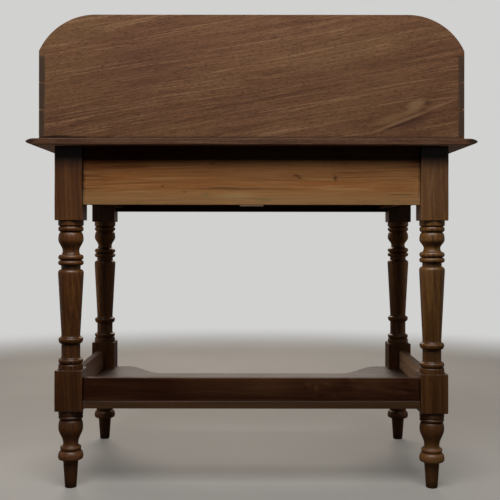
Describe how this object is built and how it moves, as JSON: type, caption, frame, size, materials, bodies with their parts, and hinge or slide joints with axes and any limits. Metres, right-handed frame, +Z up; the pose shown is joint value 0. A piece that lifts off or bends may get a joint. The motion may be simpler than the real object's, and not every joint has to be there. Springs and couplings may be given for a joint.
{
  "type": "washstand",
  "caption": "Wooden washstand with turned legs, a moulded top inside a dovetailed gallery, frieze drawers that slide out, and a low shelf with raised edges.",
  "frame": {"origin": "on the floor, under the middle of the table top", "axes": "+Z up, the drawers open along -Y, +X to the right of someone who faces the drawers"},
  "size_m": [0.94, 0.538, 1],
  "materials": {
    "faded_mahogany_board": "worn satin polish",
    "mahogany_turning": "satin polish",
    "dark_mahogany": "satin polish",
    "aged_pine": "bare, aged",
    "blackened_iron": "dull"
  },
  "bodies": {
    "stand": {"rear_left_leg": "mahogany_turning", "rear_right_leg": "mahogany_turning", "front_left_leg": "mahogany_turning", "front_right_leg": "mahogany_turning", "back_rail": "aged_pine", "left_side_rail": "dark_mahogany", "right_side_rail": "dark_mahogany", "front_top_rail": "dark_mahogany", "front_drawer_rail": "dark_mahogany", "drawer_divider": "dark_mahogany", "left_runner": "aged_pine", "centre_runner": "aged_pine", "right_runner": "aged_pine", "left_guide": "aged_pine", "centre_guide": "aged_pine", "right_guide": "aged_pine", "left_kicker": "aged_pine", "centre_kicker": "aged_pine", "right_kicker": "aged_pine", "left_drawer_stop_a": "dark_mahogany", "left_drawer_stop_b": "dark_mahogany", "right_drawer_stop_a": "dark_mahogany", "right_drawer_stop_b": "dark_mahogany", "table_top": "faded_mahogany_board", "gallery_back": "faded_mahogany_board", "left_gallery_side": "faded_mahogany_board", "right_gallery_side": "faded_mahogany_board", "shelf": "dark_mahogany", "shelf_back_rail": "dark_mahogany", "left_shelf_rail": "dark_mahogany", "right_shelf_rail": "dark_mahogany", "gallery_screw_1": "blackened_iron", "gallery_screw_2": "blackened_iron", "gallery_screw_3": "blackened_iron", "gallery_screw_4": "blackened_iron", "gallery_screw_5": "blackened_iron", "shelf_screw_1": "blackened_iron", "shelf_screw_2": "blackened_iron", "shelf_screw_3": "blackened_iron", "shelf_screw_4": "blackened_iron", "shelf_screw_5": "blackened_iron", "shelf_screw_6": "blackened_iron"},
    "left_drawer": {"left_drawer_front": "faded_mahogany_board", "left_drawer_left_side": "aged_pine", "left_drawer_right_side": "aged_pine", "left_drawer_back": "aged_pine", "left_drawer_bottom": "aged_pine", "left_drawer_knob_a": "mahogany_turning", "left_drawer_knob_b": "mahogany_turning"},
    "right_drawer": {"right_drawer_front": "faded_mahogany_board", "right_drawer_left_side": "aged_pine", "right_drawer_right_side": "aged_pine", "right_drawer_back": "aged_pine", "right_drawer_bottom": "aged_pine", "right_drawer_knob_a": "mahogany_turning", "right_drawer_knob_b": "mahogany_turning"}
  },
  "joints": [
    {"name": "left_drawer_slide", "type": "slide", "parent": "stand", "child": "left_drawer", "axis": [0, -1, 0], "range_m": [0, 0.3]},
    {"name": "right_drawer_slide", "type": "slide", "parent": "stand", "child": "right_drawer", "axis": [0, -1, 0], "range_m": [0, 0.3]}
  ]
}
